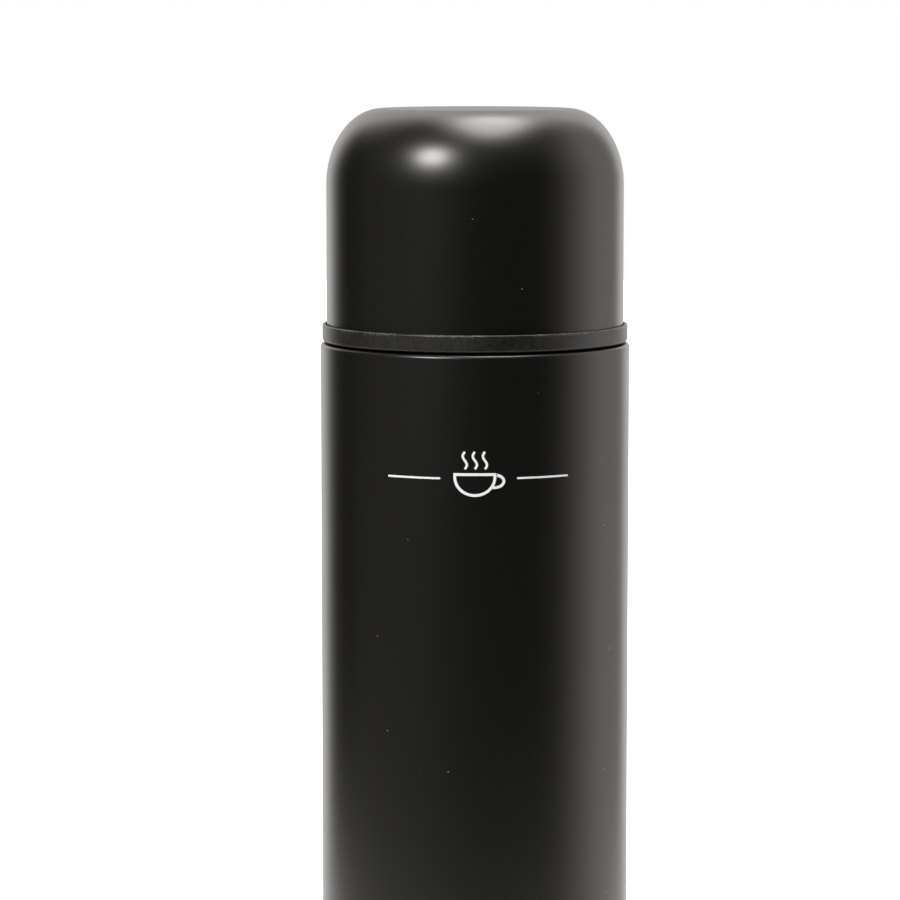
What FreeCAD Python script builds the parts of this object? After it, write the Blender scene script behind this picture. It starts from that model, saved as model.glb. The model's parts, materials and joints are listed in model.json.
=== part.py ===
"""Half-litre vacuum flask: a double-walled steel bottle, a screw stopper with a push button, and a cup.

Units are millimetres. The origin is the middle of the flask's foot, and +Z runs up its axis. The pour notch
of the stopper faces -X and its release catch faces +X. Each function makes one loose piece at rest.
"""

import FreeCAD, Part
import math
import os

Vector = FreeCAD.Vector
AXIS = Vector(0, 0, 1)

# ---- Bottle -------------------------------------------------------------------------------------
body_height = 192.1
mouth_radius = 23.5
neck_step = 4.5
shoulder_width = 7.0
shell_wall = 0.5
shell_edge_radius = 0.9
shell_lip_width = 3.0
foot_band = 3.2
foot_radius = 2.8
foot_ring_width = 4.0
base_recess = 2.2
recess_corner = 1.4
cover_collar = 5.0
vacuum_base_rim = 4.0
vacuum_base_rise = 6.4
vacuum_base_corner = 1.6
seal_radius = 3.5
seal_hole_radius = 1.0
seal_depth = 1.2
seal_dimple_edge = 0.6
seal_dimple_width = 1.8
getter_radius = 3.2
getter_thickness = 2.0
getter_offset = 16.0
getter_side_gap = 0.3
strap_width = 5.0
strap_foot = 2.5
strap_wall = 0.3
liner_wall = 0.4
vacuum_gap = 3.0
liner_floor = 16.0
liner_corner = 8.0
liner_shoulder_radius = 6.0
foil_wall = 0.15
foil_margin = 10.0
neck_height = 20.9
neck_corner = 1.2
mouth_lip_width = 1.9
seat_width = 2.9
seat_depth = 12.8
throat_length = 1.8
throat_edge = 0.6
throat_corner = 3.0

# ---- Screw threads. The cup's and the stopper's have one lead --------
thread_lead = 5.0
thread_root_width = 3.0
thread_crest_width = 1.2
thread_clearance = 0.35
thread_fade = 40.0
cup_thread_depth = 1.1
stopper_thread_depth = 1.1
neck_thread_rise = 4.4
neck_thread_height = 8.75
mouth_thread_drop = 10.0
mouth_thread_height = 6.25
cup_thread_height = 7.5
stopper_thread_height = 6.25
thread_foot_gap = 1.1
thread_root_sink = 0.2
thread_steps_per_turn = 24

# ---- Clearances ---------------------------------------------------------------------------------
slip = 0.15
join = 0.1
slide_fit = 0.3

# ---- Edges and cutters --------------------------------------------------------------------------
fine_edge = 0.3
soft_edge = 0.6
round_edge = 0.8
weld_overlap = 0.4
cutter_overrun = 1.0

# ---- Stopper ------------------------------------------------------------------------------------
skirt_wall = 1.85
flange_overhang = 2.1
flange_thickness = 1.9
rim_setback = 1.2
rim_wall = 2.2
rim_height = 4.7
groove_count = 36
groove_tool_radius = 0.6
groove_tool_offset = 0.2
grip_foot = 0.5
deck_thickness = 1.6
deck_rise = 3.8
notch_width = 13.0
notch_depth = 2.8
gasket_height = 1.95
gasket_groove_depth = 2.4
base_flange_setback = 0.7
base_flange_thickness = 2.2
base_cone_height = 4.0
base_spigot_height = 3.65
base_spigot_wall = 1.65
base_floor_thickness = 2.5
valve_hole_radius = 8.0
seat_face_width = 5.0
tube_radius = 9.0
tube_wall = 1.3
tube_flange_thickness = 1.2
guide_radius = 12.9
guide_wall = 1.2
guide_height = 5.2
window_count = 4
window_sill = 0.3
window_height = 3.7
web_arm_count = 3
web_height = 3.5
web_thickness = 1.2
web_rise = 6.0

# ---- Push button and valve ----------------------------------------------------------------------
button_travel = 3.5
button_cap_thickness = 2.2
button_cap_rise = 3.9
button_dish_depth = 0.8
button_dish_edge = 3.0
button_rim_width = 2.2
button_slope_width = 2.3
button_edge_radius = 0.9
button_skirt_wall = 1.4
button_skirt_gap = 0.2
boss_radius = 4.5
boss_length = 6.1
stem_radius = 2.4
stem_socket_depth = 4.6
valve_radius = 10.8
valve_thickness = 2.2
valve_gasket_radius = 10.2
valve_gasket_thickness = 1.6
valve_gasket_lip = 0.5
valve_gasket_lip_reach = 2.0
valve_hub_height = 1.2
barb_radius = 3.4
barb_taper = 0.8
barb_height = 1.0
spring_wire = 0.4
spring_mean_radius = 3.6
spring_turns = 5.0

# ---- Release catch ------------------------------------------------------------------------------
release_travel = 1.2
release_rise = 1.3
release_thickness = 1.7
release_width = 9.0
leg_gap = 0.2
leg_thickness = 1.2
leg_width = 4.0
nose_reach = 0.8
nose_height = 0.8
catch_bar = 2.25
divider_bar = 1.1
spring_pocket_width = 3.6
spring_pocket_end = 1.45
release_spring_wire = 0.15
release_spring_mean_radius = 0.8
release_spring_turns = 4.0
post_thickness = 1.2
pad_proud = 1.0
pad_length = 2.6
pad_height = 4.6
pad_edge = 0.5
pad_way_reach = 2.0
rail_width = 1.2
bridge_thickness = 1.2
bridge_lug_wall = 0.8
bridge_lug_length = 3.0

# ---- Cup ----------------------------------------------------------------------------------------
cup_gap = 0.35
cup_height = 52.55
cup_step = 1.4
cup_shell_wall = 0.5
cup_air_gap = 1.6
cup_liner_wall = 1.6
dome_width = 12.5
dome_height = 17.0
ring_step = 0.4
ring_height = 3.95
ring_floor = 1.5
ring_edge_radius = 0.8
ring_shoulder = 2.2
cup_gasket_thickness = 1.5
cup_gasket_reach = 3.15
cup_ledge_width = 0.8
cup_bead = 0.5
cup_bead_drop = 0.3
cup_bead_length = 1.2
cup_step_drop = 1.0
cup_wall_lean = 0.4

# ---- Levels and radii that follow ---------------------------------------------------------------
neck_radius = mouth_radius + neck_step
body_radius = neck_radius + shoulder_width
lip_z = body_height + neck_height
seat_z = lip_z - seat_depth
throat_z = seat_z - seat_width
throat_foot_z = throat_z - throat_length
throat_radius = mouth_radius - seat_width
mouth_seam_radius = mouth_radius + mouth_lip_width
liner_radius = body_radius - shell_wall - vacuum_gap
liner_inner_radius = liner_radius - liner_wall
liner_cone_z = throat_foot_z - (liner_inner_radius - throat_radius)
vacuum_base_z = foot_band + vacuum_base_rise
getter_z = vacuum_base_z + shell_wall
neck_crest = neck_radius + cup_thread_depth
mouth_crest = mouth_radius - stopper_thread_depth
neck_thread_z = body_height + neck_thread_rise
mouth_thread_z = lip_z - mouth_thread_drop

skirt_radius = mouth_crest - thread_clearance
stopper_crest = mouth_radius - thread_clearance
skirt_bore = skirt_radius - skirt_wall
skirt_z = throat_z + slip + gasket_height + 2 * slip
spigot_radius = skirt_bore - slip
gasket_groove_radius = spigot_radius - gasket_groove_depth
flange_radius = mouth_radius + flange_overhang
rim_radius = flange_radius - rim_setback
rim_foot_z = lip_z + slide_fit + flange_thickness
flange_z = lip_z + slide_fit
deck_z = lip_z + deck_rise
rim_z = deck_z + rim_height
rim_bore = rim_radius - rim_wall
base_groove_z = throat_z + join
base_cone_z = base_groove_z - base_flange_thickness
valve_seat_z = base_cone_z - base_cone_height
base_flange_radius = throat_radius - base_flange_setback
base_floor_z = skirt_z + slip
base_bowl_z = base_groove_z + base_floor_thickness
base_spigot_z = base_floor_z + base_spigot_height
spigot_bore = spigot_radius - base_spigot_wall
tube_outer_radius = tube_radius + tube_wall
tube_hole_radius = tube_outer_radius + join
tube_foot_z = base_cone_z + join
guide_floor_z = deck_z + tube_flange_thickness
guide_outer_radius = guide_radius + guide_wall
guide_top_z = guide_floor_z + guide_height
web_z = skirt_z + web_rise - web_height

button_top_z = guide_top_z + button_cap_rise
button_radius = guide_radius - slide_fit
button_bore = button_radius - button_skirt_wall
button_ceiling_z = button_top_z - button_cap_thickness
button_skirt_z = guide_floor_z + button_travel + button_skirt_gap
boss_z = button_ceiling_z - boss_length
stem_top_z = boss_z + stem_socket_depth
valve_gasket_z = valve_seat_z - slip - valve_gasket_thickness
valve_z = valve_gasket_z - valve_thickness

release_z = guide_floor_z + release_rise
release_middle_z = release_z + release_thickness / 2
release_top_z = release_z + release_thickness
leg_radius = button_bore - leg_gap - leg_thickness
catch_x = leg_radius - nose_reach - slip
release_inner_x = catch_x - catch_bar
window_outer_x = leg_radius + leg_thickness + release_travel + slip
pocket_inner_x = window_outer_x + divider_bar
post_x = pocket_inner_x + release_travel - join
pocket_outer_x = rim_bore - spring_pocket_end
pad_end_x = rim_radius + pad_proud
pad_z = release_middle_z - pad_height / 2
rail_y = release_width / 2 + slip
window_width = release_width + slide_fit + join
rail_x = guide_outer_radius + rail_width / 2

cup_z = body_height + cup_gap
cup_top_z = cup_z + cup_height
cup_radius = body_radius - cup_step
ring_radius = body_radius - ring_step
cup_bore = neck_crest + thread_clearance + join
cup_crest = neck_radius + thread_clearance
cup_ledge_z = lip_z + slip + cup_gasket_thickness + slip
cup_neck_radius = cup_bore - cup_ledge_width
ring_z = cup_z + ring_height
ring_shoulder_z = ring_z + ring_shoulder
liner_top_z = cup_top_z - cup_shell_wall - cup_air_gap
channel_inner = cup_radius - cup_shell_wall - slip
channel_outer = cup_radius + slip


# ---- Shape helpers ------------------------------------------------------------------------------
def corner_points(path, closed):
    """Points of an outline of (radius, height[, corner radius]) entries.

    A sharp corner gives one point. A rounded one gives three, where its arc starts, its middle and its end.
    """
    found = []
    count = len(path)
    for i, entry in enumerate(path):
        here = Vector(entry[0], 0, entry[1])
        bend = entry[2] if len(entry) > 2 else 0.0
        at_end = not closed and i in (0, count - 1)
        if at_end or bend <= 0:
            found.append((here,))
            continue
        before = Vector(path[i - 1][0], 0, path[i - 1][1]) - here
        after = Vector(path[(i + 1) % count][0], 0, path[(i + 1) % count][1]) - here
        before.normalize()
        after.normalize()
        half = before.getAngle(after) / 2
        middle = before + after
        middle.normalize()
        run = bend / math.tan(half)
        centre = here + middle * (bend / math.sin(half))
        found.append((here + before * run, centre - middle * bend, here + after * run))
    return found


def outline_edges(path, closed):
    """Lines and tangent arcs through an outline."""
    corners = corner_points(path, closed)
    edges = []
    count = len(corners)
    for i, corner in enumerate(corners):
        if len(corner) == 3:
            edges.append(Part.Arc(*corner).toShape())
        if not closed and i == count - 1:
            break
        start = corner[-1]
        end = corners[(i + 1) % count][0]
        if (end - start).Length > 1e-6:
            edges.append(Part.LineSegment(start, end).toShape())
    return edges


def turned(edges):
    """The solid that a closed outline in the XZ plane makes when it turns about the axis."""
    face = Part.Face(Part.Wire(Part.__sortEdges__(edges)))
    return face.revolve(Vector(0, 0, 0), AXIS, 360)


def lathe(path):
    return turned(outline_edges(path, True))


def offset_path(path, distance):
    """An open outline moved sideways, to the left of its direction when distance is above zero."""
    points = [Vector(entry[0], 0, entry[1]) for entry in path]
    directions = [(b - a).normalize() for a, b in zip(points, points[1:])]
    moved = []
    for i, point in enumerate(points):
        before = directions[max(i - 1, 0)]
        after = directions[min(i, len(directions) - 1)]
        left_before = Vector(-before.z, 0, before.x)
        left_after = Vector(-after.z, 0, after.x)
        mitre = (left_before + left_after).normalize()
        place = point + mitre * (distance / mitre.dot(left_after))
        turn = before.x * after.z - before.z * after.x
        bend = path[i][2] if len(path[i]) > 2 else 0.0
        if bend > 0:
            bend = max(bend - distance * math.copysign(1, turn), 0.0)
        moved.append((place.x, place.z, bend))
    return moved


def sheet(path, wall):
    """Sheet of one thickness turned about the axis. Its wall is laid on the left of the path."""
    inner = offset_path(path, wall)
    edges = outline_edges(path, False) + outline_edges(inner, False)
    for a, b in ((path[0], inner[0]), (path[-1], inner[-1])):
        edges.append(Part.LineSegment(Vector(a[0], 0, a[1]), Vector(b[0], 0, b[1])).toShape())
    return turned(edges)


def tube(inner, outer, low, high):
    return lathe([(inner, low), (outer, low), (outer, high), (inner, high)])


def box(x_low, x_high, y_half, z_low, z_high):
    """A block centred on the XZ plane."""
    return Part.makeBox(x_high - x_low, 2 * y_half, z_high - z_low, Vector(x_low, -y_half, z_low))


def side_block(x_low, x_high, y_low, y_high, z_low, z_high):
    """A pair of blocks, one on each side of the XZ plane."""
    size = (x_high - x_low, y_high - y_low, z_high - z_low)
    block = Part.makeBox(*size, Vector(x_low, y_low, z_low))
    return [block, block.mirror(Vector(0, 0, 0), Vector(0, 1, 0))]


def about_axis(shape, angle):
    copy = shape.copy()
    copy.rotate(Vector(0, 0, 0), AXIS, angle)
    return copy


def ring_of(shape, count, first_angle=0):
    return [about_axis(shape, first_angle + 360 * i / count) for i in range(count)]


def thread_ridge(wall_radius, crest_radius, level, height, foot_z=None):
    """One right-hand helical ridge on a round wall.

    Level is the height where its middle passes angle 0, and height is how far the middle climbs. A foot_z
    makes it start higher, where its flank just clears that height. Both its ends fade into the wall.
    """
    outward = math.copysign(1, crest_radius - wall_radius)
    root = wall_radius - thread_root_sink * outward
    low_crest = root + thread_root_sink / 2 * outward
    start = 0 if foot_z is None else foot_z + thread_foot_gap + thread_root_width / 2 - level
    turns = height / thread_lead
    steps = round(turns * thread_steps_per_turn)
    sections = []
    for i in range(steps + 1):
        climb = height * i / steps
        angle = 360 * climb / thread_lead
        share = min(angle, 360 * turns - angle, thread_fade) / thread_fade
        crest = low_crest + (crest_radius - low_crest) * math.sin(math.pi / 2 * share)
        z = level + start + climb
        flank = [
            Vector(root, 0, z - thread_root_width / 2),
            Vector(crest, 0, z - thread_crest_width / 2),
            Vector(crest, 0, z + thread_crest_width / 2),
            Vector(root, 0, z + thread_root_width / 2),
        ]
        outline = Part.makePolygon(flank + flank[:1])
        sections.append(about_axis(outline, 360 * start / thread_lead + angle))
    return Part.makeLoft(sections, True, False)


def coil_spring(mean_radius, wire_radius, length, turns):
    """A compression spring that stands on the origin along +Z."""
    rise = length - 2 * wire_radius
    helix = Part.makeHelix(rise / turns, rise, mean_radius)
    forward = Vector(0, 2 * math.pi * mean_radius, rise / turns)
    section = Part.Wire(Part.Circle(Vector(mean_radius, 0, 0), forward, wire_radius).toShape())
    spring = Part.Wire(helix).makePipeShell([section], True, True)
    spring.translate(Vector(0, 0, wire_radius))
    return spring


# ---- Bottle -------------------------------------------------------------------------------------
def outer_shell():
    """Painted steel tube. Its top edge is rolled inwards over the shoulder."""
    return sheet(
        [
            (body_radius, foot_band),
            (body_radius, body_height, shell_edge_radius),
            (body_radius - shell_edge_radius - shell_lip_width, body_height),
        ],
        shell_wall,
    )


def neck_shell():
    """Bare steel shoulder and neck, with the rolled thread that the cup screws on."""
    shoulder_z = body_height - shell_wall
    rolled = sheet(
        [
            (body_radius - shell_edge_radius - shell_wall, shoulder_z),
            (neck_radius, shoulder_z, neck_corner),
            (neck_radius, lip_z, neck_corner),
            (mouth_seam_radius, lip_z),
        ],
        shell_wall,
    )
    return rolled.fuse(thread_ridge(neck_radius, neck_crest, neck_thread_z, neck_thread_height))


def inner_bottle():
    """The steel bottle that holds the drink, welded to the neck at the mouth."""
    floor_z = liner_floor + liner_wall
    bottle = sheet(
        [
            (mouth_seam_radius, lip_z),
            (mouth_radius, lip_z, neck_corner + liner_wall),
            (mouth_radius, seat_z, throat_edge),
            (throat_radius, throat_z, throat_edge),
            (throat_radius, throat_foot_z, throat_corner),
            (liner_inner_radius, liner_cone_z, liner_shoulder_radius),
            (liner_inner_radius, floor_z, liner_corner),
            (0, floor_z),
        ],
        liner_wall,
    )
    return bottle.fuse(thread_ridge(mouth_radius, mouth_crest, mouth_thread_z, mouth_thread_height))


def copper_foil():
    """Foil wound on the inner bottle, which keeps radiant heat in."""
    inner = liner_radius + join
    return tube(inner, inner + foil_wall, liner_floor + foil_margin, liner_cone_z - foil_margin)


def vacuum_base():
    """Dished steel disc that closes the vacuum jacket, with the hole that the air is drawn out of."""
    radius = body_radius - shell_wall
    return sheet(
        [
            (radius, vacuum_base_z + vacuum_base_rim),
            (radius, vacuum_base_z, vacuum_base_corner),
            (seal_radius + seal_dimple_width, vacuum_base_z, seal_dimple_edge),
            (seal_radius + seal_dimple_edge, vacuum_base_z + seal_depth, seal_dimple_edge),
            (seal_hole_radius, vacuum_base_z + seal_depth),
        ],
        -shell_wall,
    )


def vacuum_seal():
    """The bead of solder that plugs the hole."""
    top = vacuum_base_z + seal_depth
    return lathe(
        [
            (0, vacuum_base_z + slip),
            (seal_radius, vacuum_base_z + slip, fine_edge),
            (seal_radius, top),
            (seal_hole_radius, top),
            (seal_hole_radius, top + shell_wall),
            (0, top + shell_wall),
        ]
    )


def base_cover():
    """Steel cover pressed into the foot of the shell. The flask stands on its rounded ring."""
    collar = body_radius - shell_wall - join
    band = body_radius - join
    step_z = foot_band - join - soft_edge
    ring_inner = body_radius - foot_radius - foot_ring_width
    return sheet(
        [
            (collar, foot_band + cover_collar),
            (collar, step_z),
            (band, step_z - fine_edge),
            (band, 0, foot_radius - shell_wall),
            (ring_inner, 0, recess_corner),
            (ring_inner - base_recess, base_recess, recess_corner),
            (0, base_recess),
        ],
        -shell_wall,
    )


def getter_pellet():
    """Pressed metal powder that soaks up stray gas in the vacuum."""
    foot = Vector(getter_offset, 0, getter_z + join)
    return Part.makeCylinder(getter_radius, getter_thickness, foot)


def getter_strap():
    """Bent steel strip that holds the pellet on the vacuum base."""
    y = strap_width / 2
    left = getter_offset - getter_radius - getter_side_gap
    right = getter_offset + getter_radius + getter_side_gap
    top = getter_z + getter_thickness + 2 * join
    legs = [
        box(left - strap_wall, left, y, getter_z, top),
        box(right, right + strap_wall, y, getter_z, top),
        box(left - strap_foot, left, y, getter_z, getter_z + strap_wall),
        box(right, right + strap_foot, y, getter_z, getter_z + strap_wall),
    ]
    bar = box(left - strap_wall, right + strap_wall, y, top, top + strap_wall)
    return bar.fuse(legs).removeSplitter()


# ---- Stopper ------------------------------------------------------------------------------------
def stopper_housing():
    """Threaded plastic body with the grip rim, the pour notch and the rails of the release catch."""
    shape = lathe(
        [
            (skirt_bore, skirt_z),
            (skirt_radius, skirt_z),
            (skirt_radius, flange_z),
            (flange_radius, flange_z, fine_edge),
            (flange_radius, rim_foot_z, soft_edge),
            (rim_radius, rim_foot_z, fine_edge),
            (rim_radius, rim_z, round_edge),
            (rim_bore, rim_z, round_edge),
            (rim_bore, deck_z, round_edge),
            (tube_hole_radius, deck_z),
            (tube_hole_radius, deck_z - deck_thickness),
            (skirt_bore, deck_z - deck_thickness),
        ]
    )
    level = mouth_thread_z - thread_lead / 2
    shape = shape.fuse(thread_ridge(skirt_radius, stopper_crest, level, stopper_thread_height, skirt_z))
    shape = shape.cut(grip_grooves() + [pour_notch(), pad_way()])
    return shape.fuse(catch_rails() + [spring_post()])


def grip_grooves():
    """Rods that cut the finger grooves round the outside of the rim."""
    foot = Vector(rim_radius + groove_tool_offset, 0, rim_foot_z + grip_foot)
    rod = Part.makeCylinder(groove_tool_radius, rim_height, foot)
    return ring_of(rod, groove_count, 180 / groove_count)


def pour_notch():
    inner = rim_bore - cutter_overrun
    outer = rim_radius + cutter_overrun
    return box(-outer, -inner, notch_width / 2, rim_z - notch_depth, rim_z + cutter_overrun)


def pad_way():
    """The gap in the rim that the release catch's thumb pad slides in."""
    outer = rim_radius + cutter_overrun
    return box(rim_bore - pad_way_reach, outer, rail_y, pad_z - slip, rim_z + cutter_overrun)


def catch_rails():
    far_y = rail_y + rail_width
    end = math.sqrt(rim_bore**2 - far_y**2) + weld_overlap
    return side_block(rail_x, end, rail_y, far_y, deck_z - weld_overlap, release_top_z + join)


def spring_post():
    """The post that the catch's spring pushes from."""
    half = spring_pocket_width / 2 - slip
    return box(post_x, post_x + post_thickness, half, deck_z - weld_overlap, release_top_z)


def stopper_tube():
    """Pour tube, with the web that guides the valve stem and the slotted collar round the button."""
    shape = lathe(
        [
            (tube_radius, tube_foot_z),
            (tube_outer_radius, tube_foot_z),
            (tube_outer_radius, deck_z),
            (guide_outer_radius, deck_z),
            (guide_outer_radius, guide_top_z, fine_edge),
            (guide_radius, guide_top_z, fine_edge),
            (guide_radius, guide_floor_z, soft_edge),
            (tube_radius, guide_floor_z, soft_edge),
        ]
    )
    window = box(
        guide_radius - cutter_overrun,
        guide_outer_radius + cutter_overrun,
        window_width / 2,
        guide_floor_z + window_sill,
        guide_floor_z + window_height,
    )
    shape = shape.cut(ring_of(window, window_count))
    web_top_z = web_z + web_height
    bush = tube(stem_radius + slide_fit, boss_radius, web_z, web_top_z)
    arm_start = boss_radius - weld_overlap
    arm = box(arm_start, tube_radius + weld_overlap, web_thickness / 2, web_z, web_top_z)
    arms = ring_of(arm, web_arm_count, 180 / web_arm_count)
    return shape.fuse([bush, *arms]).removeSplitter()


def stopper_base():
    """Plastic plug in the foot of the housing, with the gasket's groove and the valve's seat."""
    return lathe(
        [
            (valve_hole_radius, valve_seat_z),
            (valve_hole_radius + seat_face_width, valve_seat_z, soft_edge),
            (base_flange_radius, base_cone_z, round_edge),
            (base_flange_radius, base_groove_z, fine_edge),
            (gasket_groove_radius, base_groove_z),
            (gasket_groove_radius, base_floor_z),
            (spigot_radius, base_floor_z),
            (spigot_radius, base_spigot_z),
            (spigot_bore, base_spigot_z),
            (spigot_bore, base_bowl_z),
            (tube_hole_radius, base_bowl_z),
            (tube_hole_radius, base_cone_z),
            (valve_hole_radius, base_cone_z),
        ]
    )


def stopper_foam():
    """Foam ring that fills the stopper and keeps heat from leaving through it."""
    inner = tube_outer_radius + slip
    low = base_bowl_z + slip
    step = base_spigot_z + slip
    high = deck_z - deck_thickness - slip
    return lathe(
        [
            (inner, low),
            (spigot_bore - slip, low),
            (spigot_bore - slip, step),
            (skirt_bore - slip, step),
            (skirt_bore - slip, high),
            (inner, high),
        ]
    )


def stopper_gasket():
    """Silicone ring that seals the stopper on the bottle's conical seat."""
    inner = gasket_groove_radius + slip
    outer = skirt_radius - join
    low = base_groove_z + slip
    seat_offset = throat_z - throat_radius + 2 * slip
    return lathe(
        [
            (inner, low),
            (low - seat_offset, low),
            (outer, outer + seat_offset),
            (outer, skirt_z - slip),
            (inner, skirt_z - slip),
        ]
    )


def release_bridge():
    """Small plastic bridge snapped over the rails, which keeps the catch down."""
    lug_y = rail_y + rail_width + join
    low = release_top_z + 2 * join
    plate = box(rail_x, pocket_outer_x, lug_y + bridge_lug_wall, low, low + bridge_thickness)
    lug_foot = low - bridge_lug_length
    lugs = side_block(rail_x, pocket_outer_x, lug_y, lug_y + bridge_lug_wall, lug_foot, low)
    return plate.fuse(lugs).removeSplitter()


# ---- Push button and valve ----------------------------------------------------------------------
def push_button():
    """Round button with a stem socket, a skirt notched for the flow, and the leg the catch holds."""
    dish_radius = button_radius - button_rim_width - button_slope_width
    shape = lathe(
        [
            (0, button_top_z - button_dish_depth),
            (dish_radius, button_top_z - button_dish_depth, button_dish_edge),
            (button_radius - button_rim_width, button_top_z, cutter_overrun),
            (button_radius, button_top_z, button_edge_radius),
            (button_radius, button_skirt_z),
            (button_bore, button_skirt_z),
            (button_bore, button_ceiling_z, soft_edge),
            (boss_radius, button_ceiling_z, soft_edge),
            (boss_radius, boss_z),
            (stem_radius, boss_z),
            (stem_radius, stem_top_z),
            (0, stem_top_z),
        ]
    )
    notch = box(
        button_bore - cutter_overrun,
        button_radius + cutter_overrun,
        window_width / 2 + slide_fit,
        button_skirt_z - cutter_overrun,
        button_ceiling_z,
    )
    shape = shape.cut(ring_of(notch, window_count))
    half = leg_width / 2
    leg_top_z = button_ceiling_z + weld_overlap
    nose_x = leg_radius - nose_reach
    leg = box(leg_radius, leg_radius + leg_thickness, half, button_skirt_z, leg_top_z)
    nose = box(nose_x, leg_radius + weld_overlap, half, button_skirt_z, button_skirt_z + nose_height)
    return shape.fuse([leg, nose]).removeSplitter()


def valve_stem():
    """Rod from the button to the valve disc, with a barb that holds the disc."""
    rod_radius = stem_radius - join
    return lathe(
        [
            (0, valve_z - barb_height),
            (barb_radius - barb_taper, valve_z - barb_height, fine_edge),
            (barb_radius, valve_z),
            (rod_radius, valve_z),
            (rod_radius, boss_z - join),
            (stem_radius, boss_z - join),
            (stem_radius, stem_top_z),
            (0, stem_top_z),
        ]
    )


def valve_disc():
    """Plastic disc that closes the pour tube from below."""
    hub_top = valve_seat_z + valve_hub_height - slip
    return lathe(
        [
            (stem_radius, valve_z),
            (valve_radius, valve_z, soft_edge),
            (valve_radius, valve_gasket_z, fine_edge),
            (boss_radius, valve_gasket_z),
            (boss_radius, hub_top, soft_edge),
            (stem_radius, hub_top),
        ]
    )


def valve_gasket():
    """Silicone washer on the disc. Its raised edge presses on the seat around the valve hole."""
    inner = boss_radius + join
    top = valve_gasket_z + valve_gasket_thickness
    lip_foot = valve_hole_radius - valve_gasket_lip_reach
    return lathe(
        [
            (inner, valve_gasket_z),
            (valve_gasket_radius, valve_gasket_z, fine_edge),
            (valve_gasket_radius, top, soft_edge),
            (lip_foot + valve_gasket_lip, top, fine_edge),
            (lip_foot, top - valve_gasket_lip),
            (inner, top - valve_gasket_lip),
        ]
    )


def button_spring():
    """Steel spring between the web and the button's boss."""
    low = web_z + web_height + join
    spring = coil_spring(spring_mean_radius, spring_wire, boss_z - join - low, spring_turns)
    spring.translate(Vector(0, 0, low))
    return spring


# ---- Release catch ------------------------------------------------------------------------------
def release_slide():
    """Flat slide with a window for the button's leg, a spring pocket, and a thumb pad in the rim."""
    half = release_width / 2
    cut_low = release_z - cutter_overrun
    cut_high = release_top_z + cutter_overrun
    plate = box(release_inner_x, pad_end_x, half, release_z, release_top_z)
    pad = box(pad_end_x - pad_length, pad_end_x, half, pad_z, pad_z + pad_height)
    front_edges = [edge for edge in pad.Edges if edge.BoundBox.XMin > pad_end_x - join]
    pad = pad.makeFillet(pad_edge, front_edges)
    leg_window = box(catch_x, window_outer_x, leg_width / 2 + slide_fit, cut_low, cut_high)
    pocket = box(pocket_inner_x, pocket_outer_x, spring_pocket_width / 2, cut_low, cut_high)
    return plate.cut([leg_window, pocket]).fuse(pad).removeSplitter()


def release_spring():
    """Small spring that pushes the slide back out."""
    low = post_x + post_thickness + join
    length = pocket_outer_x - join - low
    spring = coil_spring(release_spring_mean_radius, release_spring_wire, length, release_spring_turns)
    spring.rotate(Vector(0, 0, 0), Vector(0, 1, 0), 90)
    spring.translate(Vector(low, 0, release_middle_z))
    return spring


# ---- Cup ----------------------------------------------------------------------------------------
def dome_edge(radius, top_z, width, height):
    """A quarter ellipse from the flat top of a dome down to its side."""
    centre = Vector(radius - width, 0, top_z - height)
    ellipse = Part.Ellipse(centre + Vector(0, 0, height), centre + Vector(width, 0, 0), centre)
    return Part.ArcOfEllipse(ellipse, 0, math.pi / 2).toShape()


def cup_shell():
    """Painted steel cup, drawn in one piece with a rounded top."""
    foot_z = cup_z + ring_floor + join
    dome_z = cup_top_z - dome_height
    inner = cup_radius - cup_shell_wall
    inner_top = cup_top_z - cup_shell_wall
    flat_radius = cup_radius - dome_width
    side = [(cup_radius, dome_z), (cup_radius, foot_z), (inner, foot_z), (inner, dome_z)]
    top = [(flat_radius, inner_top), (0, inner_top), (0, cup_top_z), (flat_radius, cup_top_z)]
    edges = [
        dome_edge(cup_radius, cup_top_z, dome_width, dome_height),
        dome_edge(inner, inner_top, dome_width - cup_shell_wall, dome_height - cup_shell_wall),
    ]
    return turned(edges + outline_edges(side, False) + outline_edges(top, False))


def cup_liner():
    """Plastic drinking cup. Its mouth has the thread and the ring that covers the shell's edge."""
    inner_top = liner_top_z - cup_liner_wall
    waist = cup_neck_radius + cup_liner_wall
    lower = cup_bore + cup_liner_wall
    step_z = cup_ledge_z - cup_step_drop
    channel_z = cup_z + ring_floor
    shape = lathe(
        [
            (0, inner_top),
            (cup_neck_radius - cup_wall_lean, inner_top, dome_width),
            (cup_neck_radius, cup_ledge_z),
            (cup_bore, cup_ledge_z),
            (cup_bore, lip_z),
            (cup_bore - cup_bead, lip_z - cup_bead_drop),
            (cup_bore, lip_z - cup_bead_length),
            (cup_bore, cup_z, soft_edge),
            (ring_radius, cup_z, ring_edge_radius),
            (ring_radius, ring_z, fine_edge),
            (channel_outer, ring_z, fine_edge),
            (channel_outer, channel_z),
            (channel_inner, channel_z),
            (channel_inner, ring_shoulder_z),
            (lower, ring_shoulder_z + channel_inner - lower),
            (lower, step_z - (lower - waist)),
            (waist, step_z),
            (waist - cup_wall_lean, liner_top_z, dome_width + cup_liner_wall),
            (0, liner_top_z),
        ]
    )
    level = neck_thread_z - thread_lead / 2
    return shape.fuse(thread_ridge(cup_bore, cup_crest, level, cup_thread_height, cup_z))


def cup_gasket():
    """Flat silicone ring held under the cup's ledge. It rests on the lip of the mouth."""
    outer = cup_bore - slip
    low = lip_z + slip
    return tube(outer - cup_gasket_reach, outer, low, low + cup_gasket_thickness)


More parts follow.
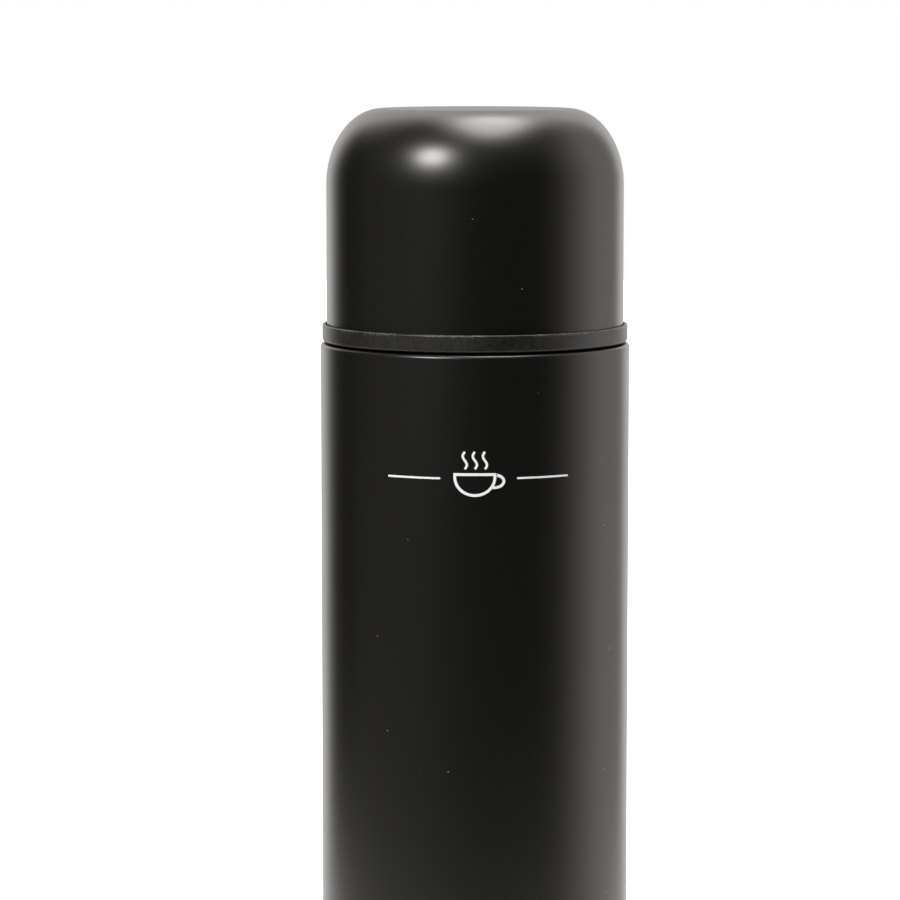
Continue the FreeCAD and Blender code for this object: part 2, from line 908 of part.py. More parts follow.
PIECES = [
    outer_shell,
    neck_shell,
    inner_bottle,
    copper_foil,
    vacuum_base,
    vacuum_seal,
    base_cover,
    getter_pellet,
    getter_strap,
    stopper_housing,
    stopper_tube,
    stopper_base,
    stopper_foam,
    stopper_gasket,
    release_bridge,
    push_button,
    valve_stem,
    valve_disc,
    valve_gasket,
    button_spring,
    release_slide,
    release_spring,
    cup_shell,
    cup_liner,
    cup_gasket,
]


def main():
    os.makedirs("parts", exist_ok=True)
    for piece in PIECES:
        shape = piece()
        name = piece.__name__
        if not shape.isValid() or len(shape.Solids) != 1:
            raise ValueError(f"{name} isn't one valid solid")
        shape.Solids[0].exportStep(f"parts/{name}.step")
        print(f"{name}: {shape.Volume / 1000:.2f} cm3")


main()
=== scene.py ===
import json
import math

import bmesh
import bpy
from mathutils import Matrix, Vector


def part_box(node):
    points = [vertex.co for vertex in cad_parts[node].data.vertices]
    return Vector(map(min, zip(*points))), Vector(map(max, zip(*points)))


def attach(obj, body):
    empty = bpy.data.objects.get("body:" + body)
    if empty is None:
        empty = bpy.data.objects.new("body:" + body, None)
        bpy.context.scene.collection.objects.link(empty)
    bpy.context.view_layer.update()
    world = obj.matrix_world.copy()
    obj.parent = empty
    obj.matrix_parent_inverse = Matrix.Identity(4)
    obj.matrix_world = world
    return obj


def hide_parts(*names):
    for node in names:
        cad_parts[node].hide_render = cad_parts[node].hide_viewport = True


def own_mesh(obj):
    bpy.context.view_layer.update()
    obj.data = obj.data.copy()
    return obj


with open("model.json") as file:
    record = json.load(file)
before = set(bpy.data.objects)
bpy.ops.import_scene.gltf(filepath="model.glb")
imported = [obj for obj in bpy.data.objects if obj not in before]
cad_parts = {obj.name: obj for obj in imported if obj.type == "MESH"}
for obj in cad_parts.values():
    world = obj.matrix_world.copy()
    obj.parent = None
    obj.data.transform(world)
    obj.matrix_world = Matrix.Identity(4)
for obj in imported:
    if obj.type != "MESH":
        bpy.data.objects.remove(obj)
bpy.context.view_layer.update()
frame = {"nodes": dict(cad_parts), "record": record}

# Inner bottle. Spun from thin stainless steel, electropolished inside, with a seat for the stopper's seal
# and a thread rolled into its mouth. Its lip is welded to the neck all round.
MM = 0.001
nodes = frame["nodes"]
lip_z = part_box("neck_shell")[1][2]
liner_low, liner_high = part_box("inner_bottle")
liner_wall = 0.4 * MM
liner_radius = liner_high[0] - liner_wall
mouth_radius = 23.5 * MM
mouth_seam = 1.9 * MM
mouth_thread_drop = 10 * MM
mouth_thread_climb = 6.25 * MM
thread_depth = 1.1 * MM
seat_depth = 12.8 * MM
seat_width = 2.9 * MM
throat_length = 1.8 * MM
seat_corner = 0.6 * MM
throat_corner = 3 * MM
bottle_shoulder = 6 * MM
bottle_corner = 8 * MM
neck_corner = 1.2 * MM


class Socket:
    """An output of a node in a material or a node tree. Operators on it add Math nodes, node() any other."""

    def __init__(self, tree, socket=None):
        self.tree = tree
        self.socket = socket

    def node(self, kind, settings, inputs, output=0):
        made = self.tree.nodes.new(kind)
        for name, value in settings.items():
            if name == "stops":
                stops = made.color_ramp.elements
                while len(stops) < len(value):
                    stops.new(1.0)
                for stop, (place, colour) in zip(stops, value):
                    stop.position = place
                    stop.color = colour
            else:
                setattr(made, name, value)
        for name, value in inputs.items():
            if isinstance(value, Socket):
                self.tree.links.new(value.socket, made.inputs[name])
            else:
                made.inputs[name].default_value = value
        return Socket(self.tree, made.outputs[output])

    def math(self, operation, *values):
        return self.node("ShaderNodeMath", {"operation": operation}, dict(enumerate(values)))

    def __add__(self, other):
        return self.math("ADD", self, other)

    def __radd__(self, other):
        return self.math("ADD", other, self)

    def __sub__(self, other):
        return self.math("SUBTRACT", self, other)

    def __rsub__(self, other):
        return self.math("SUBTRACT", other, self)

    def __mul__(self, other):
        return self.math("MULTIPLY", self, other)

    def __rmul__(self, other):
        return self.math("MULTIPLY", other, self)

    def __lt__(self, other):
        return self.math("LESS_THAN", self, other)

    def blend(self, low, high):
        """The colour low where this is 0, and high where it is 1."""
        return self.node("ShaderNodeMix", {"data_type": "RGBA"}, {0: self, 6: low, 7: high}, 2)

    def ramp(self, low, high):
        """0 below low, 1 above high, and even in between."""
        return self.node("ShaderNodeMapRange", {}, {"Value": self, "From Min": low, "From Max": high})


def new_material(name, **constants):
    """A material's start: itself, a Socket to build with, and its Principled shader."""
    material = bpy.data.materials.new(name)
    material.use_nodes = True
    shader = material.node_tree.nodes["Principled BSDF"]
    for socket, value in constants.items():
        shader.inputs[socket.replace("_", " ")].default_value = value
    return material, Socket(material.node_tree), shader


def feed(shader, **inputs):
    for socket, value in inputs.items():
        value.tree.links.new(value.socket, shader.inputs[socket.replace("_", " ")])


def place_of(build):
    """The place on the piece, in metres."""
    return build.node("ShaderNodeTexCoord", {}, {}, 3)


def noise(build, place, size, detail=2.0):
    """Noise whose features are about as wide as size, from 0 to 1."""
    return build.node("ShaderNodeTexNoise", {}, {"Vector": place, "Scale": 1 / size, "Detail": detail})


def bump(build, height, depth):
    return build.node("ShaderNodeBump", {}, {"Height": height, "Distance": depth, "Strength": 1.0})


def grey(value, warmth=0.0):
    return (value * (1 + warmth), value, value * (1 - warmth), 1)


def turning_lines(build, place, size):
    """Fine lines round the axis, on walls and on flat faces, that fade in and out as they go round."""
    flat = build.node("ShaderNodeVectorMath", {"operation": "MULTIPLY"}, {0: place, 1: (1, 1, 0)})
    radius = build.node("ShaderNodeVectorMath", {"operation": "LENGTH"}, {0: flat}, 1)
    height = build.node("ShaderNodeSeparateXYZ", {}, {0: place}, 2)
    slow = build.node("ShaderNodeVectorMath", {"operation": "SCALE"}, {0: flat, "Scale": 0.02})
    across = build.node("ShaderNodeCombineXYZ", {}, {"Z": radius + height})
    path = build.node("ShaderNodeVectorMath", {"operation": "ADD"}, {0: slow, 1: across})
    return noise(build, path, size, 3.0)


def turned_steel(name, tone, roughness, line_size, line_depth):
    """Bare stainless steel with the fine marks of spinning and polishing round its axis."""
    material, build, shader = new_material(name, Metallic=1.0)
    place = place_of(build)
    lines = turning_lines(build, place, line_size)
    smear = noise(build, place, 14 * MM, 3.0)
    feed(
        shader,
        Base_Color=smear.blend(grey(tone * 0.93, 0.012), grey(tone, 0.012)),
        Roughness=roughness - 0.05 + 0.1 * lines + 0.07 * smear,
        Normal=bump(build, lines, line_depth),
    )
    return material


def rounded(path, closed=True):
    """Points along an outline of (radius, height[, corner radius]) entries."""
    points = []
    count = len(path)
    for i, entry in enumerate(path):
        here = Vector(entry[:2])
        bend = entry[2] if len(entry) > 2 else 0.0
        if bend <= 0 or (not closed and i in (0, count - 1)):
            points.append(here)
            continue
        before = (Vector(path[i - 1][:2]) - here).normalized()
        after = (Vector(path[(i + 1) % count][:2]) - here).normalized()
        half = before.angle(after) / 2
        centre = here + (before + after).normalized() * (bend / math.sin(half))
        first = here + before * (bend / math.tan(half)) - centre
        sweep = math.pi - 2 * half
        turn = math.copysign(1, before.x * after.y - before.y * after.x)
        steps = max(3, math.ceil(sweep / math.radians(9)))
        for k in range(steps + 1):
            angle = turn * sweep * k / steps
            cos, sin = math.cos(angle), math.sin(angle)
            spoke = Vector((first.x * cos + first.y * sin, first.y * cos - first.x * sin))
            points.append(centre + spoke)
    return points


def shifted(path, distance):
    """An open path moved to its left by distance, with its corner radii kept concentric."""
    moved = []
    for i, entry in enumerate(path):
        here = Vector(entry[:2])
        ahead = Vector(path[min(i + 1, len(path) - 1)][:2])
        behind = Vector(path[max(i - 1, 0)][:2])
        after = (ahead - here).normalized() if i < len(path) - 1 else (here - behind).normalized()
        before = (here - behind).normalized() if i else after
        left_before = Vector((-before.y, before.x))
        left_after = Vector((-after.y, after.x))
        mitre = (left_before + left_after).normalized()
        place = here + mitre * (distance / mitre.dot(left_after))
        turn = math.copysign(1, before.x * after.y - before.y * after.x)
        bend = entry[2] if len(entry) > 2 else 0.0
        moved.append((place.x, place.y, max(bend - distance * turn, 0.0) if bend else 0.0))
    return moved


def sheet_outline(path, wall):
    """Closed outline of a sheet whose wall lies on the left of its path."""
    return rounded(path, False) + rounded(shifted(path, wall), False)[::-1]


def with_rows(outline, low, high, step=0.15 * MM, margin=1.6 * MM):
    """The outline with more points on its runs round a thread that climbs from low to high."""
    low -= margin
    high += margin
    rows = [low + step * k for k in range(int((high - low) / step) + 1)]
    points = []
    for here, after in zip(outline, outline[1:] + outline[:1]):
        points.append(here)
        crossed = [z for z in rows if min(here.y, after.y) < z < max(here.y, after.y)]
        if after.y < here.y:
            crossed.reverse()
        points += [here.lerp(after, (z - here.y) / (after.y - here.y)) for z in crossed]
    return points


def ridge(level, low, high, root=3.0 * MM, crest=1.0 * MM, fade=40 / 360):
    """A thread's shape: how high it stands, 0 to 1, at an angle and height. It fades out over part of a turn.

    The ridge's middle passes angle 0 at level, and it runs from low to high.
    """

    def share(angle, z):
        start = level + lead * angle / math.tau
        middle = start + lead * round((z - start) / lead)
        inside = min(middle - low, high - middle) / (lead * fade)
        flank = (root / 2 - abs(z - middle)) / ((root - crest) / 2)
        rise = min(max(flank, 0.0), 1.0)
        return rise * rise * (3 - 2 * rise) * math.sin(math.pi / 2 * min(max(inside, 0.0), 1.0))

    return share


def turned(name, outline, material, reshape=None, sides=216):
    """Mesh of a closed outline turned about the axis. Reshape may move a point's (radius, angle, z)."""
    work = bmesh.new()
    rings = []
    for point in outline:
        ring = []
        for k in range(sides if point.x > 1e-6 else 1):
            angle = math.tau * k / sides
            radius = reshape(point.x, angle, point.y) if reshape else point.x
            ring.append(work.verts.new((radius * math.cos(angle), radius * math.sin(angle), point.y)))
        rings.append(ring)
    for low, high in zip(rings, rings[1:] + rings[:1]):
        if len(low) == len(high) == 1:
            continue
        for k in range(sides):
            ahead = k + 1
            corners = [low[k % len(low)], low[ahead % len(low)], high[ahead % len(high)], high[k % len(high)]]
            work.faces.new(list(dict.fromkeys(corners)))
    return finished(name, work, material)


def finished(name, work, material):
    """The object of a bmesh, with its doubles merged and its faces smooth and pointing outwards."""
    bmesh.ops.remove_doubles(work, verts=work.verts, dist=1e-7)
    bmesh.ops.recalc_face_normals(work, faces=work.faces)
    mesh = bpy.data.meshes.new(name)
    work.to_mesh(mesh)
    work.free()
    mesh.shade_smooth()
    mesh.set_sharp_from_angle(angle=math.radians(32))
    mesh.materials.append(material)
    made = bpy.data.objects.new(name, mesh)
    bpy.context.scene.collection.objects.link(made)
    return made


def stand_in(made, body, slot, *replaced):
    """Settles a new piece: its body, and the nodes that it stands for, which are hidden. The slot is not
    used.
    """
    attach(made, body)
    if replaced:
        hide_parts(*replaced)


def finish_nodes(material, *names):
    for name in names:
        for slot in nodes[name].material_slots:
            slot.material = material


lead = frame["record"]["behaviour"]["couplings"][0]["ratio"] * math.tau
mouth_thread_z = lip_z - mouth_thread_drop
mouth_thread_top = mouth_thread_z + mouth_thread_climb
mouth_ridge = ridge(mouth_thread_z, mouth_thread_z, mouth_thread_top)
throat_radius = mouth_radius - seat_width
seat_z = lip_z - seat_depth
throat_foot = seat_z - seat_width - throat_length
liner_path = [
    (mouth_radius + mouth_seam, lip_z),
    (mouth_radius, lip_z, neck_corner + liner_wall),
    (mouth_radius, seat_z, seat_corner),
    (throat_radius, seat_z - seat_width, seat_corner),
    (throat_radius, throat_foot, throat_corner),
    (liner_radius, throat_foot - (liner_radius - throat_radius), bottle_shoulder),
    (liner_radius, liner_low[2] + liner_wall, bottle_corner),
    (0, liner_low[2] + liner_wall),
]


def mouth_reshape(radius, angle, z):
    """Pushes both faces of the mouth's wall inwards along the thread."""
    on_wall = abs(radius - mouth_radius) < 0.5 * MM
    return radius - thread_depth * mouth_ridge(angle, z) * on_wall


polished_steel = turned_steel("polished_steel", 0.62, 0.2, 0.12 * MM, 0.0015 * MM)
liner_rows = with_rows(sheet_outline(liner_path, liner_wall), mouth_thread_z, mouth_thread_top)
bottle_liner = turned("bottle_liner", liner_rows, polished_steel, mouth_reshape)
stand_in(bottle_liner, "bottle", "liner_steel", "inner_bottle")

# Copper foil. Thin copper foil that throws the heat back. It is wound round the inner bottle by hand, which
# crumples it a little, and it tarnishes in patches.
copper, build, shader = new_material("copper_foil_metal", Metallic=1.0)
place = place_of(build)
dents = {"Vector": place, "Scale": 1 / (7 * MM)}
crumple = build.node("ShaderNodeTexVoronoi", {"feature": "SMOOTH_F1"}, dents)
tarnish = noise(build, place, 12 * MM, 4.0)
feed(
    shader,
    Base_Color=tarnish.blend((0.62, 0.24, 0.12, 1), (0.86, 0.44, 0.27, 1)),
    Roughness=0.2 + 0.25 * tarnish,
    Normal=bump(build, 0.7 * crumple + 0.3 * noise(build, place, 2.5 * MM), 0.4 * MM),
)
finish_nodes(copper, "copper_foil")

# Getter. A pellet of pressed metal powder that soaks up stray gas in the vacuum. A bent strip of spring
# steel, spot-welded to the bottle, holds it.
powder, build, shader = new_material("pressed_powder", Metallic=0.3)
place = place_of(build)
grain = noise(build, place, 0.25 * MM, 3.0)
feed(
    shader,
    Base_Color=grain.blend(grey(0.05), grey(0.16)),
    Roughness=0.65 + 0.2 * grain,
    Normal=bump(build, grain, 0.03 * MM),
)
finish_nodes(powder, "getter_pellet")
spring_steel, build, shader = new_material("drawn_spring_steel", Metallic=1.0)
place = place_of(build)
draw_marks = noise(build, place, 0.06 * MM, 2.0)
heat_tint = noise(build, place, 3 * MM, 2.0)
feed(
    shader,
    Base_Color=heat_tint.blend(grey(0.44, 0.02), grey(0.56, 0.03)),
    Roughness=0.22 + 0.12 * draw_marks,
    Normal=bump(build, draw_marks, 0.002 * MM),
)
finish_nodes(spring_steel, "getter_strap")

# Vacuum base. A dished disc welded into the jacket. The air is drawn out through its middle hole, which
# a bead of solder then closes.
pressed_steel = turned_steel("pressed_steel", 0.5, 0.36, 0.3 * MM, 0.004 * MM)
finish_nodes(pressed_steel, "vacuum_base")
solder, build, shader = new_material("solder_bead", Metallic=1.0)
place = place_of(build)
ripple = noise(build, place, 1.4 * MM, 2.0)
feed(
    shader,
    Base_Color=ripple.blend(grey(0.42, -0.01), grey(0.58, -0.01)),
    Roughness=0.3 + 0.2 * ripple,
    Normal=bump(build, ripple, 0.06 * MM),
)
finish_nodes(solder, "vacuum_seal")

# Neck. Bare steel drawn up from the shoulder, polished on the lathe, with the cup's thread rolled into it.
neck_width = 4.5 * MM
neck_thread_rise = 4.4 * MM
neck_thread_climb = 8.75 * MM
shell_wall = 0.5 * MM
neck_radius = mouth_radius + neck_width
shoulder_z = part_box("outer_shell")[1][2] - shell_wall
neck_thread_z = shoulder_z + shell_wall + neck_thread_rise
neck_thread_top = neck_thread_z + neck_thread_climb
neck_ridge = ridge(neck_thread_z, neck_thread_z, neck_thread_top)
neck_path = [
    (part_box("neck_shell")[1][0], shoulder_z),
    (neck_radius, shoulder_z, neck_corner),
    (neck_radius, lip_z, neck_corner),
    (mouth_radius + mouth_seam, lip_z),
]


def neck_reshape(radius, angle, z):
    """Pushes both faces of the neck's wall outwards along the thread."""
    on_wall = abs(radius - neck_radius) < 0.6 * MM
    return radius + thread_depth * neck_ridge(angle, z) * on_wall


lathe_steel = turned_steel("lathe_polished_steel", 0.58, 0.24, 0.1 * MM, 0.003 * MM)
neck_rows = with_rows(sheet_outline(neck_path, shell_wall), neck_thread_z, neck_thread_top)
neck = turned("neck", neck_rows, lathe_steel, neck_reshape)
stand_in(neck, "bottle", "bare_steel", "neck_shell")

# Body shell. A drawn stainless tube sprayed with satin black paint and baked. Its top edge is rolled
# inwards over the shoulder, and its foot ends above the floor, where the bare steel cover begins.
shell_low, shell_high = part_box("outer_shell")
body_radius = shell_high[0]
shell_edge = 0.9 * MM
shell_lip = 3.0 * MM


def satin_paint():
    """Black stove paint: soft gloss, a faint orange peel, and a few specks of dust."""
    material, build, shader = new_material("satin_black_paint")
    place = place_of(build)
    peel = noise(build, place, 0.9 * MM, 1.0)
    grain = noise(build, place, 0.18 * MM, 1.0)
    cloud = noise(build, place, 30 * MM, 2.0)
    specks = {"Vector": place, "Scale": 1 / (7 * MM), "Randomness": 1.0}
    dust = build.node("ShaderNodeTexVoronoi", {"feature": "F1"}, specks) < 0.022
    feed(
        shader,
        Base_Color=dust.blend(grey(0.0018), grey(0.25)),
        Roughness=0.285 + 0.03 * cloud + 0.02 * grain,
        Normal=bump(build, 0.8 * peel + 0.2 * grain, 0.004 * MM),
    )
    return material


paint = satin_paint()
shell_path = [
    (body_radius, shell_low[2]),
    (body_radius, shell_high[2], shell_edge),
    (body_radius - shell_edge - shell_lip, shell_high[2]),
]
body_shell = turned("body_shell", sheet_outline(shell_path, shell_wall), paint)
stand_in(body_shell, "bottle", "black_paint", "outer_shell")

# Printed mark. A steaming cup between two rules, screen-printed on the front of the shell in white ink
# that stands a hair proud.
mark_height = 0.166
mark_stroke = 0.62 * MM
ink_depth = 0.03 * MM
bowl_half = 4.4 * MM
bowl_deep = 4.0 * MM
bowl_wall = 0.6 * MM
handle_drop = 1.5 * MM
steam_low = 1.2 * MM
steam_high = 5.0 * MM
steam_step = 2.2 * MM
steam_sway = 0.45 * MM
rule_middle = 0.85 * MM
rule_near = 8.5 * MM
rule_far = 21.0 * MM
rule_drop = 0.9 * MM


def arc_points(centre, radius_x, radius_y, start, end, steps=14):
    """Points of an elliptical arc between two angles, in degrees."""
    angles = [math.radians(start + (end - start) * k / steps) for k in range(steps + 1)]
    return [Vector((centre[0] + radius_x * math.cos(a), centre[1] + radius_y * math.sin(a))) for a in angles]


def rule(start, end, height, steps=24):
    """Points of a level line, close enough together to follow the round shell."""
    return [Vector((start + (end - start) * k / steps, height)) for k in range(steps + 1)]


def steam(middle, low, high, sway, steps=18):
    """Points of one upright wave."""
    shares = [k / steps for k in range(steps + 1)]
    return [Vector((middle + sway * math.sin(math.tau * t), low + (high - low) * t)) for t in shares]


def printed_line(work, line, width):
    """A stroke of ink along a line of (across, up) points, laid on the shell as a thin closed band."""
    sides = []
    for i, point in enumerate(line):
        along = (line[min(i + 1, len(line) - 1)] - line[max(i - 1, 0)]).normalized()
        step = Vector((-along.y, along.x)) * width / 2
        sides.append((point + step, point - step))
    rings = []
    for left, right in sides:
        ring = []
        for flat, face in ((left, 1), (right, 1), (right, -1), (left, -1)):
            reach = body_radius + face * ink_depth / 2
            angle = flat.x / body_radius - math.pi / 2
            x, y = reach * math.cos(angle), reach * math.sin(angle)
            ring.append(work.verts.new((x, y, mark_height + flat.y)))
        rings.append(ring)
    for low, high in zip(rings, rings[1:]):
        for k in range(4):
            work.faces.new((low[k], low[(k + 1) % 4], high[(k + 1) % 4], high[k]))
    work.faces.new(rings[0])
    work.faces.new(rings[-1])


ink, build, shader = new_material("white_ink")
place = place_of(build)
screen = noise(build, place, 0.12 * MM, 2.0)
feed(
    shader,
    Base_Color=screen.blend(grey(0.7), grey(0.9)),
    Roughness=0.45 + 0.15 * screen,
    Normal=bump(build, screen, 0.004 * MM),
)
work = bmesh.new()
bowl = arc_points((0, -bowl_wall), bowl_half, bowl_deep, 180, 360, 28)
printed_line(work, [Vector((-bowl_half, 0))] + bowl + [Vector((bowl_half, 0))], mark_stroke)
printed_line(work, rule(-bowl_half - mark_stroke / 2, bowl_half + mark_stroke / 2, 0), mark_stroke)
handle = arc_points((bowl_half - 0.1 * MM, -handle_drop), 2.1 * MM, 1.4 * MM, 75, -100)
printed_line(work, handle, mark_stroke)
for side in (-1, 1):
    start, end = rule_middle + side * rule_near, rule_middle + side * rule_far
    printed_line(work, rule(start, end, -rule_drop), mark_stroke * 0.7)
for middle in (-steam_step, 0, steam_step):
    printed_line(work, steam(middle, steam_low, steam_high, steam_sway), mark_stroke * 0.85)
mark = finished("printed_mark", work, ink)
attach(mark, "bottle")

# Base cover. A pressing of brushed stainless steel with a rounded foot ring that the flask stands on. Its
# collar is pushed into the end of the shell and glued.
foot_z = shell_low[2]
foot_radius = 2.8 * MM
foot_ring = 4.0 * MM
recess = 2.2 * MM
join = 0.1 * MM
collar_step = foot_z - join - 0.6 * MM
cover_band = body_radius - join
cover_path = [
    (body_radius - shell_wall - join, foot_z + 5 * MM),
    (body_radius - shell_wall - join, collar_step),
    (cover_band, collar_step - 0.3 * MM, 0.15 * MM),
    (cover_band, 0, foot_radius - shell_wall),
    (body_radius - foot_radius - foot_ring, 0, 1.4 * MM),
    (body_radius - foot_radius - foot_ring - recess, recess, 1.4 * MM),
    (0, recess),
]
brushed_steel = turned_steel("brushed_steel", 0.52, 0.3, 0.16 * MM, 0.006 * MM)
foot_cover = turned("foot_cover", sheet_outline(cover_path, -shell_wall), brushed_steel)
stand_in(foot_cover, "bottle", "bare_steel", "base_cover")

# Stopper housing. Moulded black plastic with a spark-eroded grain, a ribbed rim for the fingers, the thread
# that screws into the mouth, and the rails of the release catch. The small bridge snaps over the rails.
def moulded(name, low, high, roughness, grain_size, grain_depth, highlight_and_wear_edge=None):
    """Moulded plastic: an even grain, slow changes of gloss, and faint flow marks.

    A highlight and wear edge is a height along which the colour is painted pale in patches: a painted
    highlight on the edge, mixed with rubbed grain and a little dust.
    """
    material, build, shader = new_material(name)
    place = place_of(build)
    grain = noise(build, place, grain_size, 2.0)
    flow = noise(build, place, 9 * MM, 3.0)
    colour = (0.35 * flow + 0.65 * grain).ramp(0.3, 0.7).blend(low, high)
    # Pale patches at the edge height: a painted highlight, with some wear and dust.
    if highlight_and_wear_edge:
        height = build.node("ShaderNodeSeparateXYZ", {}, {0: place}, 2)
        near = 1 - build.math("ABSOLUTE", height - highlight_and_wear_edge).ramp(0.1 * MM, 0.7 * MM)
        highlight_and_wear = noise(build, place, 0.6 * MM, 2.0).ramp(0.42, 0.6) * flow.ramp(0.4, 0.55)
        colour = (near * highlight_and_wear).blend(colour, grey(0.1, 0.03))
    feed(
        shader,
        Base_Color=colour,
        Roughness=roughness - 0.04 + 0.08 * flow + 0.06 * grain,
        Normal=bump(build, 0.85 * grain + 0.15 * flow, grain_depth),
    )
    return material


black_plastic = moulded("grained_black_plastic", grey(0.004), grey(0.009), 0.36, 0.3 * MM, 0.035 * MM)
grey_plastic = moulded("grey_plastic", grey(0.16, -0.02), grey(0.2, -0.02), 0.38, 0.3 * MM, 0.008 * MM)
finish_nodes(black_plastic, "stopper_housing", "release_bridge")

# Stopper core. The pour tube with its slotted collar, the plug that closes the foot, and the foam ring
# between them, which keeps the heat in. All are pushed in from below and welded.
finish_nodes(grey_plastic, "stopper_tube", "stopper_base")
foam, build, shader = new_material("cream_foam")
place = place_of(build)
bubbles = {"Vector": place, "Scale": 1 / (0.6 * MM)}
cells = build.node("ShaderNodeTexVoronoi", {"feature": "DISTANCE_TO_EDGE"}, bubbles)
yellowing = noise(build, place, 8 * MM, 3.0)
feed(
    shader,
    Base_Color=yellowing.blend((0.62, 0.55, 0.4, 1), (0.8, 0.76, 0.64, 1)),
    Roughness=0.85 + 0.1 * yellowing,
    Normal=bump(build, cells, 0.2 * MM),
)
finish_nodes(foam, "stopper_foam")

# Stopper seal. A moulded silicone ring, snapped into the groove above the plug. Its cone presses on the
# bottle's seat as the stopper is screwed down.
silicone, build, shader = new_material("grey_silicone", Subsurface_Weight=0.08, Subsurface_Scale=1 * MM)
place = place_of(build)
skin = noise(build, place, 0.35 * MM, 2.0)
bloom = noise(build, place, 6 * MM, 3.0)
feed(
    shader,
    Base_Color=bloom.blend(grey(0.3, 0.01), grey(0.38, 0.01)),
    Roughness=0.42 + 0.14 * bloom,
    Normal=bump(build, skin, 0.006 * MM),
)
seal_low, seal_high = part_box("stopper_gasket")
seal_width = 4.15 * MM
cone_top = seal_high[2] - 0.5 * MM
soft = 0.25 * MM
seal_path = [
    (seal_high[0] - seal_width, seal_low[2], soft),
    (seal_high[0] - (cone_top - seal_low[2]), seal_low[2], soft),
    (seal_high[0], cone_top, 2 * soft),
    (seal_high[0], seal_high[2], soft / 2),
    (seal_high[0] - seal_width, seal_high[2], soft),
]
stopper_ring = turned("stopper_ring_seal", rounded(seal_path), silicone)
stand_in(stopper_ring, "stopper_seal", "silicone", "stopper_gasket")

# Springs. Coils of drawn wire with closed ends: one under the button, and a small one behind the release
# catch. Both are wound at their rest length.


def coil_tree():
    """Geometry nodes that wind a coil spring which stands on the origin. Its two end turns lie closed."""
    tree = bpy.data.node_groups.new("coil_spring", "GeometryNodeTree")
    tree.interface.new_socket("Geometry", in_out="OUTPUT", socket_type="NodeSocketGeometry")
    for name in ("Mean radius", "Wire radius", "Length", "Turns"):
        tree.interface.new_socket(name, in_out="INPUT", socket_type="NodeSocketFloat")
    tree.interface.new_socket("Wire", in_out="INPUT", socket_type="NodeSocketMaterial")
    build = Socket(tree)
    given = tree.nodes.new("NodeGroupInput")
    radius, wire, length, turns, metal = (Socket(tree, given.outputs[i]) for i in range(5))
    rotations = turns + 2
    spiral = {"Resolution": 28, "Rotations": rotations, "Height": 1.0}
    spiral |= {"Start Radius": radius, "End Radius": radius}
    line = build.node("GeometryNodeCurveSpiral", {}, spiral)
    place = build.node("GeometryNodeInputPosition", {}, {})
    flat = build.node("ShaderNodeVectorMath", {"operation": "MULTIPLY"}, {0: place, 1: (1, 1, 0)})
    turn = build.node("ShaderNodeSeparateXYZ", {}, {0: place}, 2) * rotations
    dead = 2.04 * wire
    pitch = build.math("DIVIDE", length - 2 * wire - 2 * dead, turns)
    active = build.math("MINIMUM", build.math("MAXIMUM", turn - 1, 0.0), turns)
    lift = build.node("ShaderNodeCombineXYZ", {}, {"Z": wire + pitch * active + dead * (turn - active)})
    moved = build.node("ShaderNodeVectorMath", {"operation": "ADD"}, {0: flat, 1: lift})
    line = build.node("GeometryNodeSetPosition", {}, {"Geometry": line, "Position": moved})
    section = build.node("GeometryNodeCurvePrimitiveCircle", {}, {"Resolution": 12, "Radius": wire})
    swept = {"Curve": line, "Profile Curve": section, "Fill Caps": True}
    mesh = build.node("GeometryNodeCurveToMesh", {}, swept)
    mesh = build.node("GeometryNodeSetShadeSmooth", {}, {0: mesh})
    mesh = build.node("GeometryNodeRealizeInstances", {}, {"Geometry": mesh})
    mesh = build.node("GeometryNodeSetMaterial", {}, {"Geometry": mesh, "Material": metal})
    out = tree.nodes.new("NodeGroupOutput")
    tree.links.new(mesh.socket, out.inputs[0])
    return tree


def grown(name, tree, placing, **inputs):
    """The plain mesh object that a node tree makes with these inputs, put in place by a matrix."""
    seed = bpy.data.objects.new(name, bpy.data.meshes.new(name))
    bpy.context.scene.collection.objects.link(seed)
    modifier = seed.modifiers.new(name, "NODES")
    modifier.node_group = tree
    sockets = {item.name: item.identifier for item in tree.interface.items_tree if item.in_out == "INPUT"}
    for socket, value in inputs.items():
        modifier[sockets[socket.replace("_", " ")]] = value
    bpy.context.view_layer.update()
    made = bpy.data.meshes.new_from_object(seed.evaluated_get(bpy.context.evaluated_depsgraph_get()))
    seed.modifiers.clear()
    made.name = name
    work = bmesh.new()
    work.from_mesh(made)
    bmesh.ops.transform(work, matrix=placing, verts=work.verts)
    bmesh.ops.recalc_face_normals(work, faces=work.faces)
    work.to_mesh(made)
    work.free()
    seed.data = made
    return seed


coil = coil_tree()
low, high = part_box("button_spring")
spring_length = high[2] - low[2]
wire = 0.4 * MM
press_spring = grown(
    "press_spring",
    coil,
    Matrix.Translation((0, 0, low[2])),
    Mean_radius=3.6 * MM,
    Wire_radius=wire,
    Length=spring_length,
    Turns=4.0,
    Wire=spring_steel,
)
stand_in(press_spring, "stopper", "spring_steel", "button_spring")
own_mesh(press_spring)
low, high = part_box("release_spring")
catch_length = high[0] - low[0]
catch_spring = grown(
    "catch_spring",
    coil,
    Matrix.Translation((low[0], 0, (low[2] + high[2]) / 2)) @ Matrix.Rotation(math.pi / 2, 4, "Y"),
    Mean_radius=0.8 * MM,
    Wire_radius=0.15 * MM,
    Length=catch_length,
    Turns=4.0,
    Wire=spring_steel,
)
stand_in(catch_spring, "stopper", "spring_steel", "release_spring")
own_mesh(catch_spring)

# Button and valve. The button's boss takes the valve stem, whose barb holds the disc and its washer. The
# release catch slides in the rim and hooks under the button's leg.
satin_plastic = moulded("satin_black_plastic", grey(0.01), grey(0.014), 0.32, 0.3 * MM, 0.006 * MM)
finish_nodes(satin_plastic, "push_button", "release_slide")
finish_nodes(grey_plastic, "valve_stem", "valve_disc")
finish_nodes(silicone, "valve_gasket")

